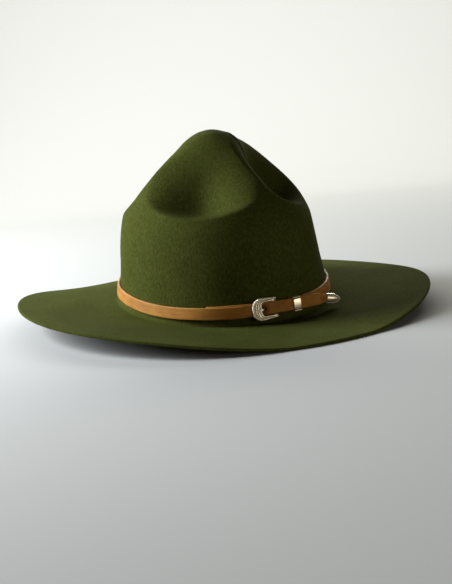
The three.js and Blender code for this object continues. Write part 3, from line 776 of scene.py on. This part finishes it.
def buckleBody(material):
    outer, outerLength = respaced(buckleEdges()[0], buckle["along"])
    inner, _ = respaced(buckleEdges()[1], buckle["along"])
    across = np.linspace(0, 1, buckle["across"])  # from the inner edge to the outer one
    top = np.zeros((buckle["along"], buckle["across"], 3))
    share = across[None, :, None]
    top[..., :2] = inner[:, None] * (1 - share) + outer[:, None] * share
    width = np.linalg.norm(outer - inner, axis=1)[:, None]
    spot = across[None, :] * width  # millimetres from the inner edge
    travel = np.linspace(0, outerLength, buckle["along"])[:, None]
    rise, dark = buckleCarving(spot, width, travel)
    carvingFoot = plateBack + buckle["plate"] - buckle["faceDrop"]
    top[..., 2] = carvingFoot + rise
    third = buckle["across"] // 3
    back = top[:, [-1, 2 * third, third, 0]].copy()
    back[..., 2] = plateBack
    chamfer = buckle["chamfer"] / width
    back[:, 0, :2] = top[:, -1, :2] * (1 - chamfer) + top[:, 0, :2] * chamfer
    back[:, -1, :2] = top[:, 0, :2] * (1 - chamfer) + top[:, -1, :2] * chamfer
    sideIn, sideOut = top[:, :1].copy(), top[:, -1:].copy()
    sideIn[..., 2] = sideOut[..., 2] = (plateBack + carvingFoot) / 2
    rings = np.concatenate([top, sideOut, back, sideIn], 1)
    plain = np.full((buckle["along"], rings.shape[1] - buckle["across"]), 0.2)
    points, faces = capped(rings)
    shells = [(points, [face[::-1] for face in faces])]
    low, high = pitch - sagAt(buckle["azimuth"], barPlace), plateBack + buckle["postSeat"]
    postPlace = openingHalf + buckle["postHeight"] / 2
    barHalf = buckle["barWidth"] / 2
    for side in (-1, 1):
        foot, head = (barPlace, side * postPlace, low), (barPlace, side * postPlace, high)
        shells.append(bar(foot, head, barHalf, buckle["postHeight"] / 2))
    middle = low + buckle["barThickness"] / 2
    ends = [(barPlace, side * postPlace, middle) for side in (-1, 1)]
    shells.append(bar(*ends, barHalf, buckle["barThickness"] / 2))
    points, faces = together(shells)
    piece = meshPiece("buckle_plate", place(buckleFrame, points), faces, material)
    paint(piece, "recess", np.concatenate([dark, plain], 1).ravel())
    return piece


def buckleRope(rope):
    outer, _ = respaced(buckleEdges()[0], buckle["ropeSteps"])
    along = unit(np.gradient(outer, axis=0))
    inward = np.column_stack([-along[:, 1], along[:, 0]])
    line = outer + inward * buckle["ropeRadius"] * buckle["ropeInset"]
    height = plateBack + buckle["plate"] - buckle["ropeRadius"] - buckle["ropeSink"]
    line = np.column_stack([line, np.full(len(line), height)])
    line = line[buckle["ropeTrim"]:-buckle["ropeTrim"]]
    return ropePiece("buckle_rope_border", [line], buckleFrame, rope, buckle)


prong = {
    "thickness": 1.3, "width": 2.0, "reach": 2.7,
    "steps": 90, "bend": 24,  # passes that round the corners of its way
    "pointRows": 7,  # rows over which its point rounds off
    "hole": 0.35,  # room round it in the leather
    "punch": 4,  # half the length of the hole's cutter
}


def prongRoute():  # from the point, over the closed end, down through the strap and along behind it
    inside = -buckle["length"] / 2 + buckle["front"]
    half = prong["thickness"] / 2
    behind = pitch + half
    high = plateBack + buckle["plate"] + band["gap"] + half
    start = barPlace - buckle["barWidth"] / 2 - band["gap"]
    corners = [(inside - prong["reach"], high), (inside + half, high),
               (inside + half + prong["width"], behind + prong["thickness"]), ((start + inside) / 2, behind),
               (start, behind - sagAt(buckle["azimuth"], start))]
    even, _ = respaced(corners, prong["steps"])
    for _ in range(prong["bend"]):
        even[1:-1] = (even[:-2] + even[1:-1] * 2 + even[2:]) / 4
    return np.column_stack([even[:, 0], np.zeros(len(even)), even[:, 1]])


def prongBody(material):
    route = prongRoute()
    rows = np.arange(len(route))
    ends = np.clip(np.minimum(rows, rows[::-1] * 2) / prong["pointRows"], 0, 1)
    taper = np.sqrt(np.clip(1 - (1 - ends) ** 2, 0.02, 1))
    points, faces = swept(route, (0, 1, 0), prong["width"] / 2 * taper, prong["thickness"] / 2 * taper)
    return meshPiece("buckle_prong_bar", place(buckleFrame, points), faces, material)


def prongHole(material):  # the opening that the prong goes through, as a round punch
    route = prongRoute()
    spot = route[np.argmin(np.abs(route[:, 2] - pitch - band["thickness"]))]
    half = np.array([0, 0, prong["punch"]])
    size = prong["width"] / 2 + prong["hole"]
    way = np.linspace(spot - half, spot + half, 3)
    points, faces = swept(way, (0, 1, 0), [size] * 3, [size + prong["hole"]] * 3, 24)
    return meshPiece("punch", place(buckleFrame, points), faces, material)


keeper = {
    "length": 7.2, "wall": 0.6, "play": 0.6, "sidePlay": 0.4, "rim": 1.2, "corner": 0.9,
    "ropePitch": 0.85, "ropeRadius": 0.5, "ropeTwist": 0.8, "ropeSink": 0.1, "ropeEnd": 0.3, "ropeSteps": 30,
    "grooveWidth": 0.4, "grooveDepth": 0.28, "grooveAside": 0.15,  # from the raised border
    "belly": 0.7,  # how far the face bulges
    "bevel": [(0.0, 0.0), (0.0, 0.35), (0.15, 0.55), (0.45, 0.6)],  # of both ends: inwards, rise
    "around": 241, "flatRows": 9, "flatFrom": 0.8,
}
keeperFrame = crownFrame @ courseFrame(lastAzimuth, 0)
keeperLow = 0.5 * pitch - keeper["play"] / 2
keeperHigh = bandCourse(lastAzimuth)[0] * pitch + band["thickness"] + keeper["play"] / 2


def keeperBody(material):
    wall, corner = keeper["wall"], keeper["corner"]
    top, side = keeperHigh + wall, band["width"] / 2 + keeper["sidePlay"] + wall
    right, upper, lower = side - corner, top - corner, keeperLow - wall + corner
    corners = [(right, upper), (-right, upper), (-right, lower), (right, lower)]
    loop = np.vstack([arc(spot, corner, 90 * k, 90 * (k + 1), 8) for k, spot in enumerate(corners)])
    outer, _ = respaced(np.vstack([loop, loop[:1]]), keeper["around"])
    outer = outer[:-1]
    out = unit(np.roll(outer, -1, 0) - np.roll(outer, 1, 0))[:, ::-1] * (1, -1)
    front = outer[:, 1] > top - 0.05
    fromBorder = side - np.abs(outer[:, 0]) - keeper["rim"]
    groove = notch(fromBorder - keeper["grooveAside"], keeper["grooveWidth"]) * front
    belly = keeper["belly"] * np.maximum(0, 1 - (outer[:, 0] / side) ** 2) * front
    length = keeper["length"] / 2
    flatEnd = length - keeper["flatFrom"]
    section = [(x - length, rise) for x, rise in keeper["bevel"]]
    section += [(x, wall) for x in np.linspace(-flatEnd, flatEnd, keeper["flatRows"])]
    section += [(length - x, rise) for x, rise in keeper["bevel"][::-1]]
    section = np.array(section)
    face = section[:, 1] > 0.5  # what the groove and the belly move
    rings, dark = [], []
    for spot, away, cut, bulge in zip(outer, out, groove, belly):
        lifted = section[:, 1] - wall + (bulge - keeper["grooveDepth"] * cut) * face
        flat = spot[None] + away[None] * lifted[:, None]
        rings.append(np.column_stack([section[:, 0], flat]))
        dark.append(np.where(face, cut, 0.3))
    rings = np.array(rings)
    count, wide = rings.shape[:2]
    faces = gridFaces(count, wide)
    last = (count - 1) * wide
    faces += [(last + k, k, (k + 1) % wide, last + (k + 1) % wide) for k in range(wide)]
    piece = meshPiece("keeper_band", place(keeperFrame, rings.reshape(-1, 3)), faces, material)
    paint(piece, "recess", np.array(dark).ravel())
    return piece


def keeperRope(rope):
    high = keeperHigh + keeper["wall"]
    side = band["width"] / 2 + keeper["sidePlay"] + keeper["wall"] - keeper["ropeRadius"] - keeper["ropeSink"]
    half = keeper["length"] / 2 - keeper["ropeEnd"]
    lines = [np.linspace((-half, side * way, high), (half, side * way, high), keeper["ropeSteps"])
             for way in (-1, 1)]
    return ropePiece("keeper_rope_borders", lines, keeperFrame, rope, keeper)


tip = {
    "length": 15, "wall": 0.6, "seat": 6, "shoulder": 6.5, "fullAlong": 0.86, "fullAcross": 0.78,
    "dome": 1.1, "domeReach": 3, "domePower": 0.6,
    "border": 1.0, "groove": 0.4, "grooveDepth": 0.3,
    "round": 0.75,  # reach of its rounded edge
    "sidePower": 0.75, "mouthPower": 0.35,  # lower is squarer
    "across": 56, "along": 60, "outline": 90,
    "nose": 1.2,  # its last stretch takes the closer points of the outline
}
tipFrame = crownFrame @ endFrame(band["endReach"] - tip["seat"])


def tipOutline(half):
    length = tip["length"]
    start = np.array([tip["shoulder"], half])
    pull = np.array([length * tip["fullAlong"], half * tip["fullAcross"]])
    end = np.array([length, 0])
    t = np.linspace(0, 1, 40)[:, None]
    curve = start * (1 - t) ** 2 + 2 * pull * t * (1 - t) + end * t**2
    return respaced(np.vstack([[(0, half)], curve]), tip["outline"])[0]


def tipBody(material):
    half = band["endWidth"] / 2 + band["gap"] + tip["wall"]
    depth = band["thickness"] + 2 * (band["gap"] + tip["wall"])
    middle = band["thickness"] / 2
    outline = tipOutline(half)
    line = np.vstack([outline, outline[::-1] * (1, -1)])
    nose = outline[outline[:, 0] > tip["length"] - tip["nose"] - 0.1, 0]
    places = np.unique(np.concatenate([np.linspace(0, tip["length"] - tip["nose"], tip["along"]), nose]))
    angles = -(np.arange(tip["across"]) + 0.5) * 2 * math.pi / tip["across"]
    cosines, sines = np.cos(angles), np.sin(angles)
    front = sines > 0
    rings, dark = [], []
    for along in places[:-1]:
        y = np.interp(along, outline[:, 0], outline[:, 1]) * signedPower(cosines, tip["sidePower"])
        spots = np.column_stack([np.full(len(y), along), y])
        inward = nearLine(spots, line)
        rounded = depth / 2 * np.sqrt(np.clip(1 - (1 - np.clip(inward / tip["round"], 0, 1)) ** 2, 0, 1))
        groove = notch(inward - tip["border"], tip["groove"]) * front
        bulge = np.clip((inward - tip["border"]) / tip["domeReach"], 0, 1) ** tip["domePower"] - 0.5
        z = np.where(front, rounded - tip["grooveDepth"] * groove + tip["dome"] * bulge, -rounded)
        rings.append(np.column_stack([spots, middle + z]))
        dark.append(groove)
    pocketHalf, pocketDepth = band["endWidth"] / 2 + band["gap"], band["thickness"] / 2 + band["gap"]
    mouth = np.column_stack([
        np.zeros(tip["across"]), pocketHalf * signedPower(cosines, tip["mouthPower"]),
        middle + pocketDepth * signedPower(sines, tip["mouthPower"])])
    deep = mouth + (tip["seat"] + band["gap"], 0, 0)
    rings = np.array([deep, mouth] + rings)
    dark = np.concatenate([np.full(2 * tip["across"], 0.8), np.array(dark).ravel()])
    points, faces = capped(rings)
    piece = meshPiece("tip_shell", place(tipFrame, points), faces, material)
    paint(piece, "recess", dark)
    return piece


def declare(piece, node):
    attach(piece, "root")
    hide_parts(node)


print("rules ready")
declare(feltBody(feltMaterial()), "felt_body")
print("felt made")

silver = silverMaterial()
rope = ropeTree(silver)
declare(buckleBody(silver), "buckle_frame")
declare(buckleRope(rope), "buckle_frame")
declare(prongBody(silver), "buckle_prong")
declare(keeperBody(silver), "keeper_loop")
declare(keeperRope(rope), "keeper_loop")
declare(tipBody(silver), "strap_tip")
print("silver made")

markAlong, markUp = band["mark"]
markPlace = place(crownFrame @ endFrame(markAlong), [(0, markUp, band["thickness"])])[0] * mm
# the middle of the painted shade by the prong's hole
holeAlong = buckle["front"] - buckle["length"] / 2 + band["paintedShadeAside"]
holePlace = place(buckleFrame, [(holeAlong, 0, pitch + band["thickness"])])[0] * mm
tanLeather = leatherMaterial(tuple(markPlace), tuple(holePlace))
punch = prongHole(silver)
strap = strapBody(tanLeather, punch)
bpy.data.objects.remove(punch)
declare(strap, "hatband_strap")
print("strap made")

# The studio, in metres: a pale floor that runs up into a backdrop
studio = {
    "floorBehind": 1.7, "floorFront": 1.0, "backdropHeight": 2.4, "backdropBend": 0.8, "halfWidth": 2.6,
    "floorRows": 8, "bendRows": 14, "nearRow": -0.6,  # of the floor's mesh
    "grey": (0.36, 0.36, 0.36, 1),
    "world": 0.008,
    "lightsAim": 0.05,  # over the camera's target
}
view = {
    "azimuth": -30, "elevation": 10.5, "roll": 5.3, "distance": 1.0, "target": (0.0015, 0, 0.015),
    "lens": 69.7, "shift": (0.0063, -0.0027),
}
warm, hazy = (1, 0.9, 0.75), (1, 1, 0.9)
lights = {
    "key": {"azimuth": -128, "elevation": 23, "distance": 1.05, "size": (0.45, 0.6), "power": 35,
            "colour": (0.95, 1, 1.03)},
    "fill": {"azimuth": 2, "elevation": 6, "distance": 1.3, "size": (0.6, 0.4), "power": 2.6, "colour": warm},
    "glint": {"azimuth": 36, "elevation": 3, "distance": 1.3, "size": (0.4, 0.4), "power": 1.5,
              "colour": warm},
    "rear": {"azimuth": 150, "elevation": 27, "distance": 1.75, "size": (2.4, 0.5), "power": 47,
             "colour": hazy},
}
backLight = {"power": 6, "size": (1.8, 0.4), "height": 0.72, "behind": 0.8, "aside": 0.1}


def towards(azimuth, elevation):
    a, e = math.radians(azimuth), math.radians(elevation)
    return Vector((math.sin(a) * math.cos(e), -math.cos(a) * math.cos(e), math.sin(e)))


def addLight(name, aim, azimuth, elevation, distance, size, power, colour=(1, 1, 1)):
    data = bpy.data.lights.new(name, "AREA")
    data.shape, data.energy, data.color = "RECTANGLE", power, colour
    data.size, data.size_y = size
    light = addObject(name, data)
    away = towards(azimuth, elevation)
    light.location = aim + away * distance
    light.rotation_euler = away.to_track_quat("Z", "Y").to_euler()


behind = -towards(view["azimuth"], 0)
aside = Vector((-behind.y, behind.x, 0))


def studioFloor():
    bend, length = studio["backdropBend"], studio["floorBehind"]
    line = [(-studio["floorFront"], 0.0)]
    line += [(x, 0.0) for x in np.linspace(studio["nearRow"], length - bend, studio["floorRows"])]
    for turn in np.linspace(0.1, math.pi / 2, studio["bendRows"]):
        line.append((length - bend + bend * math.sin(turn), bend - bend * math.cos(turn)))
    line.append((length, studio["backdropHeight"]))
    points, faces = [], []
    for out, up in line:
        for edge in (-1, 1):
            spot = behind * out + aside * edge * studio["halfWidth"] + Vector((0, 0, up))
            points.append(tuple(spot / mm))
    for row in range(len(line) - 1):
        faces.append((2 * row, 2 * row + 1, 2 * row + 3, 2 * row + 2))
    look = {"Base Color": studio["grey"], "Roughness": 0.9, "Specular IOR Level": 0.1}
    meshPiece("floor", points, faces, newMaterial("paleFloor", look)[0])


studioFloor()
aim = Vector(view["target"]) + Vector((0, 0, studio["lightsAim"]))
for name, light in lights.items():
    addLight(name, aim, **light)
# the backdrop's own light looks away from the hat
backSpot = behind * backLight["behind"] + aside * backLight["aside"] + Vector((0, 0, backLight["height"]))
addLight("backdropLight", backSpot, view["azimuth"], 0, 0, backLight["size"], backLight["power"])

world = bpy.data.worlds.new("room")
bpy.context.scene.world = world
world.use_nodes = True
world.node_tree.nodes["Background"].inputs["Color"].default_value = (1, 1, 1, 1)
world.node_tree.nodes["Background"].inputs["Strength"].default_value = studio["world"]
bpy.context.scene.view_settings.view_transform = "Standard"

camera = addObject("camera", bpy.data.cameras.new("camera"))
away = towards(view["azimuth"], view["elevation"])
camera.location = Vector(view["target"]) + away * view["distance"]
camera.rotation_mode = "QUATERNION"
level = away.to_track_quat("Z", "Y")
camera.rotation_quaternion = level @ Matrix.Rotation(math.radians(-view["roll"]), 4, "Z").to_quaternion()
camera.data.lens = view["lens"]
camera.data.shift_x, camera.data.shift_y = view["shift"]
camera.data.clip_start = 0.05
bpy.context.scene.camera = camera

print("scene ready")
